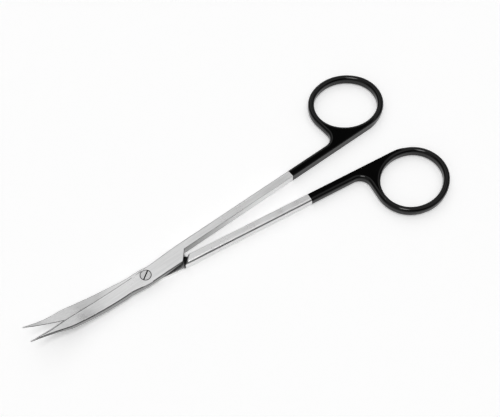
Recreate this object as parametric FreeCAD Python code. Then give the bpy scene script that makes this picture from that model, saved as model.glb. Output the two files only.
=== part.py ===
import FreeCAD, Part
import math
import os

# Dissecting scissors with curved blades, ring handles and a screw joint.
# The origin is where the pivot axis meets the surface that the scissors rest on.
# +X runs along the bisector to the finger rings, +Z is up, and sizes are in millimetres.
# Each half is one forging. It is drawn closed, with its ring on +Y, then mirrored for the
# rear half and turned open by half of the resting angle.

# Stock and joint
stock_thickness = 4.0        # shanks, joint and rings, up from the resting surface
mating_height = 1.85         # level of the plane on which the two laps slide
lap_gap = 0.04               # running gap between the laps, and between the blades
rest_opening = 7.56          # angle between the halves as they lie, 0 when closed
shank_gap = 0.4              # between the two shanks when closed
shank_width = 3.65           # from the flat inner side to the rounded outer side
outer_round = 1.25           # rounding of the outer edges of shank and ring
inner_round = 0.3            # rounding of the edges of the flat inner side
lap_end = 18.5               # pivot to where the slanted end of the lap leaves the shank
lap_end_slant = 41.2         # angle of that end from square across
lap_reach = 4.15             # how far the lap reaches across the centre line
stop_gap = 0.06              # left between lap end and step wall when closed
wall_round = 1.1             # rounding along the outer edge of the step wall
waist = 3.05                 # pivot to the outer side of its half, the narrowest place

# Blades
blade_reach = 49.7           # pivot to tip
shoulder_reach = 34.3        # pivot to the shoulder where the fine tip begins
dish_start = 10.3            # radius from which the blades curve upwards
dish_radius = 86.0           # radius of that curve, which is swept about the pivot
root_reach = 8.5             # pivot to the root of the ground blade
root_spine = 3.45            # centre line to spine at the root
root_edge = 3.12             # centre line to cutting edge at the root
shoulder_spine = 2.45
shoulder_edge = 2.4
spine_fullness = 1.6         # 1 is straight from root to shoulder, more is fuller
edge_fullness = 4.0
shoulder_thickness = 1.45
tip_width = 0.5
tip_thickness = 0.55
tip_hollow = 0.45            # how far the tip's sides curve in from straight, spine side
tip_turn = math.radians(70)  # how far the tip's end is rounded, a half circle would be 90
tip_blunting = 0.7           # share of the tip's thickness left at its very end
bevel_width = 0.75           # ground bevel along the cutting edge, seen from above
edge_land = 0.12             # flat at the foot of the bevel
spine_draft = 0.38           # lean of the spine's side
spine_chamfer = 0.2          # breaks the spine's outer edge
bevel_crown = 0.02           # how far the bevel stands off flat
wall_share = 0.49            # most of a wall that the rounding of one edge takes
round_share = 0.35           # most of a section's width that its lower rounding takes
spine_share = 0.12           # most of that width that the spine's chamfer takes
bevel_share = 0.4            # most of that width that the bevel takes
joint_steps = 8              # sections along the joint
blade_steps = 5              # and along the blade, up to its shoulder
tip_steps = 4                # and from there to the tip
end_steps = 2                # and round its blunt end

# Finger rings
ring_centre_x = 113.92
ring_side = 0.47             # keeps the ring on its own side of the centre line
ring_hole_long = 27.4
ring_hole_short = 24.3
ring_band = 2.62             # width of the ring's band, seen from above
ring_turn = -15.8            # degrees from the shank to the hole's long axis
oval_fullness = 0.52         # how much of long less short half the end arcs give up
heel_set_back = 15.7         # from ring centre back to where web and outer side meet
heel_round = 4.6             # hollow corner between shank and web
hole_chamfer = 0.75          # breaks the lower edge of the finger hole

# Screw
head_diameter = 4.15
head_rim = 0.35              # straight rim of the head
head_cone = 0.75             # depth of the countersunk part below the rim
neck_diameter = 2.7          # smooth neck that the front half turns on
thread_diameter = 2.2        # threaded end, tapped through the rear half
head_clearance = 0.05
neck_clearance = 0.03
thread_clearance = 0.01
slot_width = 0.46
slot_depth = 0.55
slot_turn = 37.7

margin = 5.0                 # how far cutting blocks run past the metal
touching = 1e-4              # points closer than this count as one

V = FreeCAD.Vector
axis = V(0, 0, 1)
quarter = 1 - math.sqrt(0.5)    # how far a quarter round stands off its chord, by radius
ring_centre_y = ring_side + ring_band + ring_hole_short / 2


def between(share, first, last):
    return first + (last - first) * share


def ease(position, start, end):
    """0 at the start and 1 at the end, with level ends."""
    share = min(1.0, max(0.0, (position - start) / (end - start)))
    return share * share * (3.0 - 2.0 * share)


def dish_height(radius):
    """Level of the sliding surface at a distance from the pivot."""
    run = max(0.0, radius - dish_start)
    return mating_height + dish_radius - math.sqrt(dish_radius ** 2 - run ** 2)


def prism(points, low, high):
    """Upright block over a plan outline."""
    corners = [V(x, y, low) for x, y in points]
    return Part.Face(Part.makePolygon(corners + corners[:1])).extrude(V(0, 0, high - low))


def bulged(first, last, bulge):
    """Arc between two points whose middle stands off the chord by bulge."""
    chord = last - first
    across = axis.cross(chord) if abs(chord.z) < 1e-9 else chord.cross(V(1, 0, 0))
    across.normalize()
    return Part.Arc(first, (first + last) * 0.5 + across * bulge, last).toShape()


# Ring, web and shank

def direction(angle):
    return V(math.cos(math.radians(angle)), math.sin(math.radians(angle)), 0)


def oval(band):
    """The finger hole's outline, or one at a distance outside it, as four tangent arcs.

    Each arc is its centre, radius, first and last angle.
    """
    long_half = ring_hole_long / 2
    short_half = ring_hole_short / 2
    excess = long_half - short_half
    end_radius = short_half - oval_fullness * excess
    side_radius = short_half + (1 + 0.5 / oval_fullness) * excess
    meeting = math.degrees(math.atan2(1 + 0.5 / oval_fullness, 1 + oval_fullness))
    arcs = []
    for number in range(4):
        middle = ring_turn + 90 * number
        if number % 2 == 0:
            half, radius, spread = long_half, end_radius, meeting
        else:
            half, radius, spread = short_half, side_radius, 90 - meeting
        centre = V(ring_centre_x, ring_centre_y, 0) + direction(middle) * (half - radius)
        arcs.append((centre, radius + band, middle - spread, middle + spread))
    return arcs


def oval_edges(arcs, start, end):
    """Edges of the oval from one angle round to another."""
    edges = []
    for turn in (0, 360):
        for centre, radius, first, last in arcs:
            low = max(start, first + turn)
            high = min(end, last + turn)
            if high - low > touching:
                points = [centre + direction(angle) * radius for angle in (low, (low + high) / 2, high)]
                edges.append(Part.Arc(*points).toShape())
    return edges


def touch_angle(point, arcs, side):
    """Angle at which a line from the point touches the oval."""
    for centre, radius, first, last in arcs:
        away = point - centre
        if away.Length < radius:
            continue
        bearing = math.degrees(math.atan2(away.y, away.x))
        angle = bearing + side * math.degrees(math.acos(radius / away.Length))
        angle = first + (angle - first) % 360
        if angle <= last:
            return angle


def handle_plate():
    """Shank, web and finger ring: one plate, its outer edges well rounded."""
    outside = oval(ring_band)
    inner = shank_gap / 2
    outer = inner + shank_width
    inner_start = V(lap_end, inner, 0)
    outer_start = V(lap_end, outer, 0)
    heel = V(ring_centre_x - heel_set_back, outer, 0)
    first = touch_angle(inner_start, outside, 1)
    last = touch_angle(heel, outside, -1)
    ring = oval_edges(outside, first, last + 360 * (last < first))
    inner_touch = ring[0].valueAt(ring[0].FirstParameter)
    heel_touch = ring[-1].valueAt(ring[-1].LastParameter)

    up = (heel_touch - heel).normalize()
    back = V(-1, 0, 0)
    half_corner = up.getAngle(back) / 2
    set_back = heel_round / math.tan(half_corner)
    stand_off = heel_round / math.sin(half_corner) - heel_round
    arc_start = heel + up * set_back
    arc_end = heel + back * set_back
    arc_middle = heel + (up + back).normalize() * stand_off

    edges = [Part.makeLine(inner_start, inner_touch)] + ring
    edges += [
        Part.makeLine(heel_touch, arc_start),
        Part.Arc(arc_start, arc_middle, arc_end).toShape(),
        Part.makeLine(arc_end, outer_start),
        Part.makeLine(outer_start, inner_start),
    ]
    most = wall_share * min(ring_band, stock_thickness)
    full_round = min(outer_round, most)
    plate = Part.Face(Part.Wire(edges)).extrude(V(0, 0, stock_thickness))
    plate = round_plate(plate, edges, full_round)
    hole = oval(0)
    hole_wire = Part.Wire(oval_edges(hole, hole[0][2], hole[0][2] + 360))
    plate = plate.cut(Part.Face(hole_wire).extrude(V(0, 0, stock_thickness)))
    plate = plate.makeFillet(full_round, edges_on(plate, hole_wire, stock_thickness))
    return plate.makeChamfer(min(hole_chamfer, most), edges_on(plate, hole_wire, 0))


def edges_on(shape, outline, level):
    """Edges of the shape that run along a plan outline at one level."""
    found = []
    for edge in shape.Edges:
        middle = edge.valueAt((edge.FirstParameter + edge.LastParameter) / 2)
        off_outline = Part.Vertex(V(middle.x, middle.y, 0)).distToShape(outline)[0]
        if max(off_outline, abs(middle.z - level)) < touching:
            found.append(edge)
    return found


def round_plate(plate, outline, full_round):
    """Rounds the plate's outer edges: little on the flat inner side, fully elsewhere.

    The first arc of the ring, next to the inner line, carries the change from one to the
    other.
    """
    inner_line, soft_arc = outline[0], outline[1]
    end_line = outline[-1]
    soft_start = soft_arc.valueAt(soft_arc.FirstParameter)
    radii = []
    for number, edge in enumerate(plate.Edges, 1):
        middle = edge.valueAt((edge.FirstParameter + edge.LastParameter) / 2)
        upright = abs(edge.Vertexes[0].Z - edge.Vertexes[-1].Z) > touching
        level = V(middle.x, middle.y, 0)
        probe = Part.Vertex(level)
        if upright or probe.distToShape(end_line)[0] < touching:
            continue
        if probe.distToShape(inner_line)[0] < touching:
            radii.append((number, inner_round, inner_round))
        elif probe.distToShape(soft_arc)[0] < touching:
            start = edge.valueAt(edge.FirstParameter)
            forward = V(start.x, start.y, 0).distanceToPoint(soft_start) < touching
            ends = (inner_round, full_round) if forward else (full_round, inner_round)
            radii.append((number,) + ends)
        else:
            radii.append((number, full_round, full_round))
    sheet = FreeCAD.newDocument("rounding")
    source = sheet.addObject("Part::Feature", "plate")
    source.Shape = plate
    rounded = sheet.addObject("Part::Fillet", "rounded")
    rounded.Base = source
    rounded.Edges = radii
    sheet.recompute()
    result = rounded.Shape.copy()
    FreeCAD.closeDocument(sheet.Name)
    return result


# Lap and blade

def section(x, outer, spine, kept, other, corner, foot, crown, layer):
    """Closed outline across a half at one distance from the pivot.

    Heights count from the sliding surface: kept is the thickness that stays on the half's
    own side of it, other is what is milled away later. corner and foot are the width and
    the lower end of the slope on the outer side: a rounding at the joint, the ground
    bevel on the blade. crown is how far that slope stands off its chord.
    """
    level = dish_height(-x)
    width = outer + spine
    back_round = min(outer_round, width * round_share)
    lean = spine_draft * ease(-x, 0, root_reach) * min(1.0, spine / shoulder_spine)
    chamfer = min(spine_chamfer, width * spine_share)

    def point(y, height):
        return V(x, y, level + layer * height)

    foot_outer = point(outer, foot)
    crest_outer = point(outer - corner, kept)
    crest_spine = point(-spine + lean + chamfer, kept)
    side_spine = point(-spine + lean, kept - chamfer)
    base_spine = point(-spine - lean * other / kept, -other)
    base_outer = point(outer - back_round, -other)
    low_outer = point(outer, back_round - other)
    edges = [
        bulged(foot_outer, crest_outer, layer * crown),
        Part.makeLine(crest_outer, crest_spine),
        Part.makeLine(crest_spine, side_spine),
        Part.makeLine(side_spine, base_spine),
        Part.makeLine(base_spine, base_outer),
        bulged(base_outer, low_outer, layer * quarter * back_round),
        Part.makeLine(low_outer, foot_outer),
    ]
    return Part.Wire(edges)


def lap_and_blade(layer):
    """Joint and blade at full height; the sliding surface is milled afterwards."""
    lap = stock_thickness - mating_height if layer > 0 else mating_height
    other = stock_thickness - lap
    shank_outer = shank_gap / 2 + shank_width

    def broad(x):
        """Section between shank and shoulder."""
        reach = max(0.0, -x)
        ground = ease(reach, 0, root_reach)
        waisted = between(ease(x, 0, lap_end), waist, shank_outer)
        along = max(0.0, (reach - root_reach) / (shoulder_reach - root_reach))
        outer = between(along ** edge_fullness, between(ground, waisted, root_edge), shoulder_edge)
        spine = between(along ** spine_fullness, between(ground, lap_reach, root_spine), shoulder_spine)
        kept = between(ease(reach, dish_start, shoulder_reach), lap, shoulder_thickness)
        corner = between(ease(x, -root_reach, lap_end), bevel_width, outer_round)
        foot = between(ground, kept - corner, edge_land)
        crown = between(ground, quarter * corner, bevel_crown)
        return section(x, outer, spine, kept, other, corner, foot, crown, layer)

    def fine(share):
        """Section between shoulder and tip."""
        reach = between(share, shoulder_reach, blade_reach - tip_width / 2)
        spine = between(share, shoulder_spine, tip_width / 2) - tip_hollow * math.sin(math.pi * share)
        outer = between(share, shoulder_edge, tip_width / 2)
        kept = between(share, shoulder_thickness, tip_thickness)
        corner = min(bevel_width, (outer + spine) * bevel_share)
        return section(-reach, outer, spine, kept, other, corner, edge_land, bevel_crown, layer)

    def blunt(angle):
        """Section through the rounded end of the tip, from 0 degrees to the last one."""
        rounding = tip_width / 2
        reach = blade_reach - rounding * (1 - math.sin(angle) / math.sin(tip_turn))
        half_width = rounding * math.cos(angle)
        kept = tip_thickness * between(math.cos(angle), tip_blunting, 1)
        corner = half_width * 2 * bevel_share
        crown = bevel_crown * math.cos(angle)
        return section(-reach, half_width, half_width, kept, other, corner, edge_land, crown, layer)

    joint = [broad(between(n / joint_steps, lap_end, -dish_start))
             for n in range(joint_steps + 1)]
    blade = [broad(between(n / blade_steps, -dish_start, -shoulder_reach))
             for n in range(blade_steps + 1)]
    tip = [fine(n / tip_steps) for n in range(tip_steps + 1)]
    end = [blunt(tip_turn * n / end_steps) for n in range(end_steps + 1)]
    lofts = [Part.makeLoft(wires, True, False) for wires in (joint, blade, tip, end)]
    return lofts[0].fuse(lofts[1:])


# Joint

def dish_block(low_side, offset):
    """All the space below, or above, the sliding surface, swept about the pivot axis."""
    far = blade_reach + margin
    end = V(far, 0, dish_height(far) + offset)
    middle = (dish_start + far) / 2
    limit = -margin if low_side else end.z + margin
    start = V(dish_start, 0, mating_height + offset)
    edges = [
        Part.makeLine(V(0, 0, limit), V(0, 0, start.z)),
        Part.makeLine(V(0, 0, start.z), start),
        Part.Arc(start, V(middle, 0, dish_height(middle) + offset), end).toShape(),
        Part.makeLine(end, V(far, 0, limit)),
        Part.makeLine(V(far, 0, limit), V(0, 0, limit)),
    ]
    return Part.Face(Part.Wire(edges)).revolve(V(0, 0, 0), axis, 360)


def slanted(along, beyond, side):
    """Plan point measured from where the slanted lap end leaves the shank's inner side.

    along runs down that slanted end, beyond runs square from it towards the ring. side is
    +1 for a half's own lap end and -1 for the step wall that faces the other half's.
    """
    slant = math.radians(lap_end_slant)
    inner = shank_gap / 2
    return (lap_end - along * math.sin(slant) + beyond * math.cos(slant),
            side * (inner - along * math.cos(slant) - beyond * math.sin(slant)))


def make_half(layer):
    """One forging: +1 is the front half above the sliding surface, -1 the rear one below it."""
    far = lap_reach + shank_width + margin
    inner = shank_gap / 2
    behind = prism([(lap_end, inner), slanted(far, 0, 1), (lap_end + far, -far),
                    (lap_end + far, inner)], -margin, stock_thickness + margin)
    blank = lap_and_blade(layer).cut(behind).fuse(handle_plate())
    high = dish_height(blade_reach + margin) + 2 * margin
    room = prism([slanted(-far, stop_gap, -1), slanted(far, stop_gap, -1),
                  (-blade_reach - far, far), (-blade_reach - far, -far)], -2 * margin, high)
    milled = dish_block(layer > 0, layer * lap_gap / 2).common(room)
    half = blank.cut(milled).cut(wall_corner(far, layer)).removeSplitter()
    half = bore_half(half, layer)
    if layer < 0:
        half = half.mirror(V(0, 0, 0), V(0, 1, 0))
    half.rotate(V(0, 0, 0), axis, layer * rest_opening / 2)
    return half


def wall_corner(far, layer):
    """What the rounding takes off along the outer edge of the step wall."""
    outer_face = 0 if layer > 0 else stock_thickness
    inward = V(0, 0, layer * wall_round)
    edge = V(*slanted(-far, stop_gap, -1), outer_face)
    back = V(*slanted(-far, stop_gap + wall_round, -1), outer_face)
    length = V(*slanted(far, stop_gap, -1), outer_face) - edge
    hollow = (back + inward) + (edge - back - inward).normalize() * wall_round
    outline = [
        Part.makeLine(edge + inward, edge),
        Part.makeLine(edge, back),
        Part.Arc(back, hollow, edge + inward).toShape(),
    ]
    return Part.Face(Part.Wire(outline)).extrude(length)


def head_profile(gap, neck_gap, top):
    """Half outline of the countersunk head, or of its seat when it gets a gap."""
    rim = head_diameter / 2 + gap
    neck = neck_diameter / 2 + neck_gap
    floor = stock_thickness - head_rim
    return [(0, top), (rim, top), (rim, floor), (neck, floor - head_cone), (neck, 0)]


def turned(profile):
    """Solid of revolution about the pivot axis from (radius, height) corners."""
    points = [V(radius, 0, height) for radius, height in profile]
    points.append(V(0, 0, points[-1].z))
    return Part.Face(Part.makePolygon(points + points[:1])).revolve(V(0, 0, 0), axis, 360)


def bore_half(half, layer):
    if layer > 0:
        seat = head_profile(head_clearance, neck_clearance, stock_thickness + margin)
        return half.cut(turned(seat))
    tapped = thread_diameter / 2 + thread_clearance
    return half.cut(Part.makeCylinder(tapped, stock_thickness + margin, V(0, 0, -margin)))


def make_screw():
    """Slotted countersunk screw: flush head, smooth neck, threaded end flush underneath."""
    outline = head_profile(0, 0, stock_thickness)[:-1]
    neck_end = mating_height - lap_gap / 2
    outline.append((neck_diameter / 2, neck_end))
    outline.append((thread_diameter / 2, neck_end))
    outline.append((thread_diameter / 2, 0))
    screw = turned(outline)
    slot = Part.makeBox(head_diameter * 2, slot_width, slot_depth + margin,
                        V(-head_diameter, -slot_width / 2, stock_thickness - slot_depth))
    slot.rotate(V(0, 0, 0), axis, slot_turn)
    return screw.cut(slot)


os.makedirs("parts", exist_ok=True)
make_half(1).exportStep("parts/front_half.step")
make_half(-1).exportStep("parts/rear_half.step")
make_screw().exportStep("parts/pivot_screw.step")
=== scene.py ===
import math

import bpy
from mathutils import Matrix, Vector

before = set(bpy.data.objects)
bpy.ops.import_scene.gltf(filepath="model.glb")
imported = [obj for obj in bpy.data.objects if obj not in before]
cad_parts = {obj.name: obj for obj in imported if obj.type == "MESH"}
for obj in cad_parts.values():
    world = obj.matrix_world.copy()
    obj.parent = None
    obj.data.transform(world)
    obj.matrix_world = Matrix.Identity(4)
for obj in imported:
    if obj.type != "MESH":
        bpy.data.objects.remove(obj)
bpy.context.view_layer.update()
print("frame loaded:", ", ".join(sorted(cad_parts)))

# Dissecting scissors: two satin steel halves with black coated rings, and a slotted screw.
# Everything is in metres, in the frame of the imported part: pivot at the origin, rings on +X.


# Small helpers for node trees

def addNode(tree, kind, place=(0, 0), **settings):
    node = tree.nodes.new(kind)
    node.location = place
    for name, value in settings.items():
        setattr(node, name, value)
    return node


def joinSockets(tree, *pairs):
    for source, target in pairs:
        tree.links.new(source, target)


def mathNode(tree, operation, first, second=0.0, place=(0, 0)):
    node = addNode(tree, "ShaderNodeMath", place, operation=operation)
    for index, value in enumerate((first, second)):
        if isinstance(value, (int, float)):
            node.inputs[index].default_value = value
        else:
            tree.links.new(value, node.inputs[index])
    return node.outputs[0]


def allOf(tree, *shares, place=(0, 0)):
    # 1 where every share is 1
    x, y = place
    whole = shares[0]
    for number, share in enumerate(shares[1:]):
        whole = mathNode(tree, "MULTIPLY", whole, share, (x + 200 * number, y))
    return whole


def anyOf(tree, *shares, place=(0, 0)):
    # the largest of the shares
    x, y = place
    whole = shares[0]
    for number, share in enumerate(shares[1:]):
        whole = mathNode(tree, "MAXIMUM", whole, share, (x + 200 * number, y))
    return whole


def stepNode(tree, value, start, end, low=0.0, high=1.0, place=(0, 0)):
    node = addNode(tree, "ShaderNodeMapRange", place, interpolation_type="SMOOTHSTEP")
    tree.links.new(value, node.inputs["Value"])
    node.inputs["From Min"].default_value = start
    node.inputs["From Max"].default_value = end
    node.inputs["To Min"].default_value = low
    node.inputs["To Max"].default_value = high
    return node.outputs["Result"]


noiseReach = (0.3, 0.7)     # a noise texture seldom leaves this


def noiseNode(tree, vector, scale, detail, place=(0, 0)):
    node = addNode(tree, "ShaderNodeTexNoise", place)
    node.inputs["Scale"].default_value = scale
    node.inputs["Detail"].default_value = detail
    tree.links.new(vector, node.inputs["Vector"])
    return node.outputs["Fac"]


def mixColours(tree, share, first, second, place=(0, 0)):
    node = addNode(tree, "ShaderNodeMix", place, data_type="RGBA")
    tree.links.new(share, node.inputs[0])
    for socket, value in ((node.inputs[6], first), (node.inputs[7], second)):
        if isinstance(value, tuple):
            socket.default_value = value
        else:
            tree.links.new(value, socket)
    return node.outputs[2]


def radiusNode(tree, x, y, place=(0, 0)):
    # distance from the pivot axis
    left, up = place
    squares = mathNode(tree, "ADD",
                       mathNode(tree, "MULTIPLY", x, x, (left, up)),
                       mathNode(tree, "MULTIPLY", y, y, (left, up - 150)), (left + 200, up))
    return mathNode(tree, "SQRT", squares, place=(left + 400, up))


def grey(value):
    return (value, value, value, 1.0)


def newMaterial(name):
    material = bpy.data.materials.new(name)
    material.use_nodes = True
    tree = material.node_tree
    tree.nodes.clear()
    output = addNode(tree, "ShaderNodeOutputMaterial", (1400, 0))
    return material, tree, output.inputs["Surface"]


def giveMaterial(node, *materials):
    node.data.materials.clear()
    for material in materials:
        node.data.materials.append(material)


# Satin steel of the two halves, with the black coat on rings and rear shanks.
# Each pair of places is where a shade begins to change and where it has changed.

halfLook = {
    "openHalfAngle": 3.78,             # degrees that each half is turned from the closed position
    "topFacing": (0.90, 0.95),         # height of the normal, from which a face is a level top
    "sideFacing": (0.5, 0.3),          # and below which it is a side
    "cloudScale": 160.0,               # broad unevenness of the polish and of the coat
    "cloudDetail": 2.0,
    "steel": {
        "dark": 0.72,
        "light": 0.80,
        "roughness": (0.27, 0.33),
        "grainScale": (90, 2600, 2600),    # polishing lines, along the half and across it
        "grainDetail": 3.0,
        "grainBump": 0.06,
        "grainDepth": 0.00002,
        "sides": (0.94, 0.76),             # of the blades, painted brighter as a sheen, and of the shanks
        "sidesFade": (0.0, 0.030),         # from the pivot, where the one passes into the other
    },
    # painted shade on the lap's sliding face, the inner sides and the sides of the tips
    "ground": {
        "colour": 0.33,
        "lapTop": (0.0021, 0.0020),        # the sliding flat of the lap lies below this
        "lapFade": (0.004, 0.010),         # from the pivot towards the step
        "innerSide": (0.0013, 0.0012),     # the flat inner sides lie within this of the centre line
        "innerFade": (0.060, 0.016),       # and get brighter along the shank
        "tipSide": (-0.0335, -0.0345),     # the sides of the tips are painted darker from here on
    },
    "lapSide": {
        "colour": 0.05,
        "top": 0.0024,                     # height of its upper edge
        "topAt": 0.006,                    # at this distance from the pivot
        "rise": 0.105,                     # of that edge, for each unit along
        "border": 0.0001,
        "outside": (-0.0010, -0.0012),     # past the centre line
        "fade": (-0.001, 0.001),           # along, at the pivot
    },
    # painted shade in the crevices, round the screw and at the foot of the step
    "unpolished": {
        "colour": 0.012,
        "seatLine": (0.00218, 0.00210),    # outer radius of the line round the screw
        "stepCorner": 0.0185,              # pivot to the inner end of the step
        "stepSlant": 41.2,                 # degrees from square across
        "width": 0.0020,                   # how far the strip reaches from the step
        "start": (0.0004, 0.0007),         # where it starts along the step
        "run": 0.0064,                     # and where it has narrowed to nothing
        "border": 0.0001,
        "stepWall": (0.0002, 0.0001),      # it takes in the wall of the step
        "top": (0.0034, 0.0030),           # up to this height
    },
    "coat": {
        "colour": 0.003,
        "gloss": 1.35,                     # refractive index
        "roughness": (0.04, 0.09),
        "start": 0.0730,                   # from the pivot along the shank
        "border": 0.00008,                 # half the width of its soft edge
        "wave": 0.00025,                   # how far its dipped edge wanders to either side
    },
}


def halfCoordinates(tree, side):
    # the half's own coordinates, as if it were closed
    coordinates = addNode(tree, "ShaderNodeTexCoord", (-1800, 0))
    turned = addNode(tree, "ShaderNodeMapping", (-1600, 0))
    turned.inputs["Rotation"].default_value = (0, 0, math.radians(-side * halfLook["openHalfAngle"]))
    along = addNode(tree, "ShaderNodeSeparateXYZ", (-1400, 0))
    joinSockets(tree,
                (coordinates.outputs["Object"], turned.inputs["Vector"]),
                (turned.outputs["Vector"], along.inputs["Vector"]))
    return turned.outputs["Vector"], along.outputs


def paintedFlatShadeShare(tree, along, fromMiddle, level, wall):
    # painted shade on three flats: the lap's sliding face, the inner sides and the tips
    look = halfLook["ground"]
    lap = allOf(tree, level,
                stepNode(tree, along["Z"], *look["lapTop"], place=(-1000, 1250)),
                stepNode(tree, along["X"], *look["lapFade"], place=(-1000, 1100)), place=(-800, 1250))
    inner = allOf(tree, wall,
                  stepNode(tree, fromMiddle, *look["innerSide"], place=(-1000, 900)),
                  stepNode(tree, along["X"], *look["innerFade"], place=(-1000, 750)), place=(-800, 900))
    tip = allOf(tree, wall,
                stepNode(tree, along["X"], *look["tipSide"], place=(-1000, 1700)), place=(-800, 1700))
    return anyOf(tree, lap, inner, tip, place=(-400, 1250))


def lapSideShare(tree, along, fromMiddle, wall):
    # the outer side of the lower lap, which the front half shades
    look = halfLook["lapSide"]
    above = mathNode(tree, "ADD", along["Z"],
                     mathNode(tree, "MULTIPLY", along["X"], -look["rise"], (-1200, 1950)), (-1000, 1950))
    top = look["top"] - look["topAt"] * look["rise"]
    return allOf(tree, wall,
                 stepNode(tree, above, top + look["border"], top, place=(-800, 1950)),
                 stepNode(tree, fromMiddle, *look["outside"], place=(-800, 2100)),
                 stepNode(tree, along["X"], *look["fade"], place=(-800, 2250)), place=(-600, 1950))


def seatShare(tree, along):
    # painted shade: a thin line round the screw
    radius = radiusNode(tree, along["X"], along["Y"], (-1200, 500))
    return stepNode(tree, radius, *halfLook["unpolished"]["seatLine"], place=(-600, 500))


def stepShare(tree, along, side):
    # painted shade: a strip at the foot of the step, narrowing along the step
    look = halfLook["unpolished"]
    slant = math.radians(look["stepSlant"])

    def distance(alongPart, acrossPart, y):
        # from the step's inner end, in one direction in plan
        part = mathNode(tree, "MULTIPLY_ADD", along["X"], alongPart, (-1200, y))
        part.node.inputs[2].default_value = -look["stepCorner"] * alongPart
        other = mathNode(tree, "MULTIPLY", along["Y"], acrossPart * side, (-1200, y - 150))
        return mathNode(tree, "ADD", part, other, (-1000, y))

    beyond = distance(math.cos(slant), math.sin(slant), 300)
    run = distance(-math.sin(slant), math.cos(slant), -100)
    width, border = look["width"], look["border"]
    narrowed = mathNode(tree, "ADD", beyond,
                        mathNode(tree, "MULTIPLY", run, -width / look["run"], (-800, 100)), (-700, 300))
    return allOf(tree,
                 stepNode(tree, narrowed, -width - border, -width + border, place=(-600, 300)),
                 stepNode(tree, beyond, *look["stepWall"], place=(-600, 150)),
                 stepNode(tree, run, *look["start"], place=(-600, 0)),
                 stepNode(tree, along["Z"], *look["top"], place=(-600, -150)), place=(-400, 300))


def steelShader(tree, side, tone, along, grain, clouds):
    look = halfLook["steel"]
    colour = mixColours(tree, stepNode(tree, grain, *noiseReach, place=(-1000, -400)),
                        grey(look["dark"] * tone), grey(look["light"] * tone), (-800, -400))
    bump = addNode(tree, "ShaderNodeBump", (-800, -800))
    bump.inputs["Strength"].default_value = look["grainBump"]
    bump.inputs["Distance"].default_value = look["grainDepth"]
    roughness = stepNode(tree, clouds, *noiseReach, *look["roughness"], (-800, -600))
    geometry = addNode(tree, "ShaderNodeNewGeometry", (-1800, 1400))
    facing = addNode(tree, "ShaderNodeSeparateXYZ", (-1600, 1400))
    joinSockets(tree,
                (grain, bump.inputs["Height"]),
                (geometry.outputs["Normal"], facing.inputs["Vector"]))
    level = stepNode(tree, facing.outputs["Z"], *halfLook["topFacing"], place=(-1400, 1400))
    wall = stepNode(tree, facing.outputs["Z"], *halfLook["sideFacing"], place=(-1400, 1550))
    fromMiddle = mathNode(tree, "MULTIPLY", along["Y"], side, (-1200, 900))
    # painted sheen: the sides of the blades are painted brighter than the steel on top
    blade, shank = look["sides"]
    paintedSideSheen = mixColours(tree, stepNode(tree, along["X"], *look["sidesFade"], place=(-1000, 600)),
                            grey(blade), grey(shank), (-800, 600))
    # painted shade in the crevices round the screw and at the step
    unpolished = anyOf(tree, seatShare(tree, along), stepShare(tree, along, side), place=(0, 500))
    # each layer lies over the ones before it
    layers = (
        (mathNode(tree, "MULTIPLY", wall, tone, (-600, 700)), paintedSideSheen),
        (paintedFlatShadeShare(tree, along, fromMiddle, level, wall), grey(halfLook["ground"]["colour"])),
        (lapSideShare(tree, along, fromMiddle, wall), grey(halfLook["lapSide"]["colour"])),
        (unpolished, grey(halfLook["unpolished"]["colour"])),
    )
    for number, (share, shade) in enumerate(layers):
        colour = mixColours(tree, share, colour, shade, (200 + 150 * number, 300))
    steel = addNode(tree, "ShaderNodeBsdfPrincipled", (900, 300))
    steel.inputs["Metallic"].default_value = 1.0
    joinSockets(tree,
                (colour, steel.inputs["Base Color"]),
                (roughness, steel.inputs["Roughness"]),
                (bump.outputs["Normal"], steel.inputs["Normal"]))
    return steel.outputs[0]


def coatShader(tree, clouds):
    look = halfLook["coat"]
    coat = addNode(tree, "ShaderNodeBsdfPrincipled", (900, -300))
    coat.inputs["Base Color"].default_value = grey(look["colour"])
    coat.inputs["IOR"].default_value = look["gloss"]
    roughness = stepNode(tree, clouds, *noiseReach, *look["roughness"], (700, -500))
    tree.links.new(roughness, coat.inputs["Roughness"])
    return coat.outputs[0]


def coatShare(tree, along, clouds):
    # 1 on the coat, whose edge is a shade uneven where it was dipped
    look = halfLook["coat"]
    wander = mathNode(tree, "MULTIPLY_ADD", clouds, look["wave"] * 2, (300, -300))
    wander.node.inputs[2].default_value = -look["wave"]
    reach = mathNode(tree, "ADD", along["X"], wander, (500, -300))
    return stepNode(tree, reach, look["start"] - look["border"], look["start"] + look["border"],
                    place=(700, -300))


def halfMaterial(name, side, tone=1.0):
    # steel and coat of one half; tone darkens the steel, as a painted dark reflection on the broken edges
    material, tree, surface = newMaterial(name)
    turned, along = halfCoordinates(tree, side)
    lines = addNode(tree, "ShaderNodeMapping", (-1400, -400))
    lines.inputs["Scale"].default_value = halfLook["steel"]["grainScale"]
    tree.links.new(turned, lines.inputs["Vector"])
    grain = noiseNode(tree, lines.outputs["Vector"], 1.0, halfLook["steel"]["grainDetail"], (-1200, -400))
    clouds = noiseNode(tree, turned, halfLook["cloudScale"], halfLook["cloudDetail"], (-1200, -600))
    mix = addNode(tree, "ShaderNodeMixShader", (1200, 0))
    joinSockets(tree,
                (coatShare(tree, along, clouds), mix.inputs[0]),
                (steelShader(tree, side, tone, along, grain, clouds), mix.inputs[1]),
                (coatShader(tree, clouds), mix.inputs[2]),
                (mix.outputs[0], surface))
    return material


# The screw

screwLook = {
    "steelLight": 0.70,
    "steelDark": 0.58,
    "roughness": (0.23, 0.31),
    "ringSpacing": 3500.0,             # turning marks on the head
    "ringDetail": 2.0,
    "slotTurn": 37.7,                  # degrees, as the slot is cut
    # painted shade in the slot and round the rim of the head
    "slotEdge": (0.00029, 0.00023),    # the slot is dark up to here from its middle
    "rim": (0.00194, 0.00200),         # from here out the rim is dark
    "dark": 0.015,
}


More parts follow.
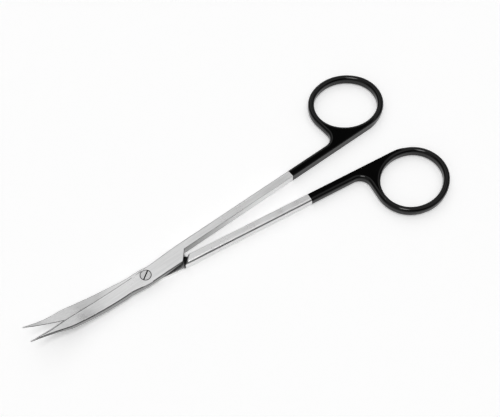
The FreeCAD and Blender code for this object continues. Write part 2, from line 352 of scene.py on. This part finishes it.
def screwMaterial():
    look = screwLook
    material, tree, surface = newMaterial("screwSteel")
    coordinates = addNode(tree, "ShaderNodeTexCoord", (-1000, 0))
    split = addNode(tree, "ShaderNodeSeparateXYZ", (-800, 0))
    tree.links.new(coordinates.outputs["Object"], split.inputs["Vector"])
    x, y = split.outputs["X"], split.outputs["Y"]
    radius = radiusNode(tree, x, y, (-600, 0))
    turn = math.radians(look["slotTurn"])
    fromSlot = mathNode(tree, "ADD",
                        mathNode(tree, "MULTIPLY", x, -math.sin(turn), (-600, -400)),
                        mathNode(tree, "MULTIPLY", y, math.cos(turn), (-600, -600)), (-400, -400))
    slot = stepNode(tree, mathNode(tree, "ABSOLUTE", fromSlot, place=(-200, -400)), *look["slotEdge"],
                    place=(0, -400))
    rim = stepNode(tree, radius, *look["rim"], place=(0, -200))
    rings = addNode(tree, "ShaderNodeTexNoise", (0, 100), noise_dimensions="1D")
    rings.inputs["Scale"].default_value = look["ringSpacing"]
    rings.inputs["Detail"].default_value = look["ringDetail"]
    tree.links.new(radius, rings.inputs["W"])
    bright = mixColours(tree, stepNode(tree, rings.outputs["Fac"], *noiseReach, place=(300, 100)),
                        grey(look["steelDark"]), grey(look["steelLight"]), (500, 200))
    # painted shade of the rim and the slot
    unpolished = anyOf(tree, rim, slot, place=(500, -300))
    colour = mixColours(tree, unpolished, bright, grey(look["dark"]), (750, 100))
    roughness = stepNode(tree, rings.outputs["Fac"], *noiseReach, *look["roughness"], (750, -100))
    steel = addNode(tree, "ShaderNodeBsdfPrincipled", (1000, 0))
    steel.inputs["Metallic"].default_value = 1.0
    joinSockets(tree,
                (colour, steel.inputs["Base Color"]),
                (roughness, steel.inputs["Roughness"]),
                (steel.outputs[0], surface))
    return material


# Edges are broken by hand in the real scissors: a hair of rounding, so that they catch light.
# Two places stay sharp: the acute corner of the step, and the fine ends of the tips.

edgeLook = {
    "join": 0.000001,                # points closer than this are one
    "width": 0.00018,
    "segments": 2,
    "sharper": 43.0,                 # degrees between faces, past which their edge is broken
    "corner": (0.01845, 0.00142),    # the step's acute corner in plan, on the front half
    "cornerKept": 0.0011,            # its edges stay sharp out to here
    "tipKept": -0.0478,              # and those of the tips from here on
    "shadedApart": 18.0,             # degrees between faces, past which they are shaded apart
    "tone": 0.10,                    # of their steel, against that of the faces, painted darker as a dark reflection
    "evenness": 50,                  # each face counts by its area
}


def addTree(node, title, sizes):
    # a Geometry Nodes tree for one node, with a named input for each size
    tree = bpy.data.node_groups.new(node.name + title, "GeometryNodeTree")
    for way in ("INPUT", "OUTPUT"):
        tree.interface.new_socket("Geometry", in_out=way, socket_type="NodeSocketGeometry")
    identifiers = {}
    for label, value in sizes.items():
        kind = "NodeSocketVector" if isinstance(value, tuple) else "NodeSocketFloat"
        identifiers[label] = tree.interface.new_socket(label, in_out="INPUT", socket_type=kind).identifier
    start = addNode(tree, "NodeGroupInput", (-1000, 0))
    end = addNode(tree, "NodeGroupOutput", (800, 0))
    modifier = node.modifiers.new(title, "NODES")
    modifier.node_group = tree
    for label, value in sizes.items():
        modifier[identifiers[label]] = value
    return tree, start.outputs, end.inputs


def edgesOver(tree, angle, place):
    # 1 on the edges whose faces stand further apart than the angle
    x, y = place
    faces = addNode(tree, "GeometryNodeInputMeshEdgeAngle", (x, y))
    return mathNode(tree, "GREATER_THAN", faces.outputs["Unsigned Angle"], angle, (x + 200, y))


def chooseEdges(node, side):
    # a weight for the bevel, 1 on the edges that are broken: sharp, off the corner and off the tip
    along, across = edgeLook["corner"]
    tree, start, end = addTree(node, "Choice", {
        "Sharper": math.radians(edgeLook["sharper"]),
        "Corner": (along, across * side, 0.0),
        "Corner kept": edgeLook["cornerKept"],
        "Tip kept": edgeLook["tipKept"],
    })
    place = addNode(tree, "GeometryNodeInputPosition", (-1000, -400))
    plan = addNode(tree, "ShaderNodeVectorMath", (-800, -400), operation="MULTIPLY")
    plan.inputs[1].default_value = (1.0, 1.0, 0.0)      # leaves the height out
    away = addNode(tree, "ShaderNodeVectorMath", (-600, -400), operation="DISTANCE")
    split = addNode(tree, "ShaderNodeSeparateXYZ", (-600, -600))
    chosen = allOf(tree,
                   edgesOver(tree, start["Sharper"], (-600, -200)),
                   mathNode(tree, "GREATER_THAN", away.outputs["Value"], start["Corner kept"], (-400, -400)),
                   mathNode(tree, "GREATER_THAN", split.outputs["X"], start["Tip kept"], (-400, -600)),
                   place=(-200, -200))
    store = addNode(tree, "GeometryNodeStoreNamedAttribute", (400, 0), data_type="FLOAT", domain="EDGE")
    store.inputs["Name"].default_value = "bevel_weight_edge"
    joinSockets(tree,
                (place.outputs["Position"], plan.inputs[0]),
                (plan.outputs["Vector"], away.inputs[0]),
                (start["Corner"], away.inputs[1]),
                (place.outputs["Position"], split.inputs["Vector"]),
                (start["Geometry"], store.inputs["Geometry"]),
                (chosen, store.inputs["Value"]),
                (store.outputs["Geometry"], end["Geometry"]))


def shadeEdges(node):
    # smooth shading, but faces stay apart at sharp edges
    tree, start, end = addTree(node, "Shading", {"Shaded apart": math.radians(edgeLook["shadedApart"])})
    plain = addNode(tree, "GeometryNodeRemoveAttribute", (-400, 0))
    plain.inputs["Name"].default_value = "custom_normal"
    smooth = addNode(tree, "GeometryNodeSetShadeSmooth", (-200, 0), domain="FACE")
    apart = addNode(tree, "GeometryNodeSetShadeSmooth", (200, 0), domain="EDGE")
    apart.inputs["Shade Smooth"].default_value = False
    joinSockets(tree,
                (start["Geometry"], plain.inputs["Geometry"]),
                (plain.outputs["Geometry"], smooth.inputs["Geometry"]),
                (smooth.outputs["Geometry"], apart.inputs["Geometry"]),
                (edgesOver(tree, start["Shaded apart"], (-200, -300)), apart.inputs["Selection"]),
                (apart.outputs["Geometry"], end["Geometry"]))


def breakEdges(node, side):
    # the last modifier evens the shading of the long faces that the bevel leaves
    weld = node.modifiers.new("joined", "WELD")
    weld.merge_threshold = edgeLook["join"]
    chooseEdges(node, side)
    bevel = node.modifiers.new("broken edges", "BEVEL")
    bevel.width = edgeLook["width"]
    bevel.segments = edgeLook["segments"]
    bevel.limit_method = "WEIGHT"
    bevel.use_clamp_overlap = False
    bevel.loop_slide = False
    bevel.material = 1      # the second slot, the edge steel with its painted dark reflection
    shadeEdges(node)
    even = node.modifiers.new("even shading", "WEIGHTED_NORMAL")
    even.keep_sharp = True
    even.weight = edgeLook["evenness"]


for name, side in (("front_half", 1), ("rear_half", -1)):
    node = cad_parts[name]
    steel = halfMaterial(name + "Steel", side)
    paintedDarkEdgeSteel = halfMaterial(name + "Edge", side, edgeLook["tone"])
    giveMaterial(node, steel, paintedDarkEdgeSteel)
    breakEdges(node, side)
print("halves finished")
giveMaterial(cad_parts["pivot_screw"], screwMaterial())
print("screw finished")


# Floor

floorLook = {
    "size": 3.0,
    "level": -0.00002,    # a hair under the steel, so that the two faces don't fight
    "colour": 0.95,
    "roughness": 0.9,
    "glow": 0.30,         # what a photographer's white light table adds to the view of it
}


def paperMaterial():
    # the glow is seen by the camera and in reflections, and lights nothing
    material, tree, surface = newMaterial("floorPaper")
    paper = addNode(tree, "ShaderNodeBsdfPrincipled", (1000, 0))
    paper.inputs["Base Color"].default_value = grey(floorLook["colour"])
    paper.inputs["Roughness"].default_value = floorLook["roughness"]
    paper.inputs["Specular IOR Level"].default_value = 0.0
    paper.inputs["Emission Color"].default_value = grey(1.0)
    rays = addNode(tree, "ShaderNodeLightPath", (0, 0)).outputs
    seen = anyOf(tree, rays["Is Camera Ray"], rays["Is Glossy Ray"], rays["Is Transmission Ray"],
                 place=(200, 0))
    glow = mathNode(tree, "MULTIPLY", seen, floorLook["glow"], (600, 0))
    joinSockets(tree,
                (glow, paper.inputs["Emission Strength"]),
                (paper.outputs[0], surface))
    return material


def makeFloor():
    half = floorLook["size"] / 2
    level = floorLook["level"]
    mesh = bpy.data.meshes.new("floor")
    corners = [(-half, -half, level), (half, -half, level), (half, half, level), (-half, half, level)]
    mesh.from_pydata(corners, [], [(0, 1, 2, 3)])
    floor = bpy.data.objects.new("floor", mesh)
    bpy.context.scene.collection.objects.link(floor)
    mesh.materials.append(paperMaterial())


makeFloor()
print("floor made")


# Studio: a grey dome with soft round boxes of light on it, each with a soft edge.
# Later boxes lie over earlier ones. The gap is what the flat coated webs mirror.

domeLevel = 0.2

softBoxes = (
    # azimuth from +X towards +Y, elevation, and half widths of core and edge, all in degrees
    {"name": "main", "azimuth": 66.0, "elevation": 58.0, "halfWidth": (26.0, 44.0), "level": 1.16},
    {"name": "overhead", "azimuth": 236.0, "elevation": 77.0, "halfWidth": (6.0, 8.5), "level": 21.0},
    {"name": "fill", "azimuth": -35.0, "elevation": 62.0, "halfWidth": (18.0, 28.0), "level": 0.9},
    {"name": "side", "azimuth": 205.0, "elevation": 38.0, "halfWidth": (18.0, 30.0), "level": 0.7},
    {"name": "dark side", "azimuth": 276.0, "elevation": 26.0, "halfWidth": (16.0, 24.0), "level": 0.0},
    {"name": "gap", "azimuth": 47.5, "elevation": 57.0, "halfWidth": (4.5, 7.5), "level": 0.0},
)


def direction(azimuth, elevation):
    a, e = math.radians(azimuth), math.radians(elevation)
    return Vector((math.cos(a) * math.cos(e), math.sin(a) * math.cos(e), math.sin(e)))


def boxNode(tree, unit, below, box, place):
    # strength of the dome with one more box laid over what is below
    x, y = place
    towards = addNode(tree, "ShaderNodeVectorMath", (x, y), operation="DOT_PRODUCT", label=box["name"])
    towards.inputs[1].default_value = direction(box["azimuth"], box["elevation"])
    tree.links.new(unit, towards.inputs[0])
    inner, outer = (math.cos(math.radians(angle)) for angle in box["halfWidth"])
    share = stepNode(tree, towards.outputs["Value"], outer, inner, place=(x + 200, y))
    cover = addNode(tree, "ShaderNodeMapRange", (x + 400, y))
    joinSockets(tree, (share, cover.inputs["Value"]), (below, cover.inputs["To Min"]))
    cover.inputs["To Max"].default_value = box["level"]
    return cover.outputs["Result"]


def makeWorld():
    world = bpy.data.worlds.new("studio")
    bpy.context.scene.world = world
    world.use_nodes = True
    tree = world.node_tree
    tree.nodes.clear()
    output = addNode(tree, "ShaderNodeOutputWorld", (600, 0))
    background = addNode(tree, "ShaderNodeBackground", (400, 0))
    coordinates = addNode(tree, "ShaderNodeTexCoord", (-800, 0))
    unit = addNode(tree, "ShaderNodeVectorMath", (-600, 0), operation="NORMALIZE")
    base = addNode(tree, "ShaderNodeValue", (-600, 300))
    base.outputs[0].default_value = domeLevel
    tree.links.new(coordinates.outputs["Generated"], unit.inputs[0])
    level = base.outputs[0]
    for number, box in enumerate(softBoxes):
        level = boxNode(tree, unit.outputs[0], level, box, (-400, -300 * number))
    # past the floor's edge the camera sees a pale, even room
    rays = addNode(tree, "ShaderNodeLightPath", (200, 300))
    seen = addNode(tree, "ShaderNodeMapRange", (200, 0))
    joinSockets(tree,
                (rays.outputs["Is Camera Ray"], seen.inputs["Value"]),
                (level, seen.inputs["To Min"]),
                (seen.outputs["Result"], background.inputs["Strength"]),
                (background.outputs[0], output.inputs["Surface"]))


makeWorld()
print("studio lit")


# Camera, at the angle and the distance that the photo's perspective gives

cameraSetup = {
    "place": (-0.0567, -0.1570, 0.3412),
    "target": (0.05095, 0.00398, 0.00012),
    "lens": 69.86,    # in millimetres, as the sensor
    "sensor": 36.0,
    "sees": (0.01, 20.0),
}


def makeCamera():
    data = bpy.data.cameras.new("camera")
    data.sensor_fit = "HORIZONTAL"
    data.sensor_width = cameraSetup["sensor"]
    data.lens = cameraSetup["lens"]
    data.clip_start, data.clip_end = cameraSetup["sees"]
    camera = bpy.data.objects.new("camera", data)
    place = Vector(cameraSetup["place"])
    camera.location = place
    camera.rotation_euler = (Vector(cameraSetup["target"]) - place).to_track_quat("-Z", "Y").to_euler()
    bpy.context.scene.collection.objects.link(camera)
    bpy.context.scene.camera = camera


makeCamera()
bpy.context.scene.view_settings.view_transform = "Standard"
print("camera placed")
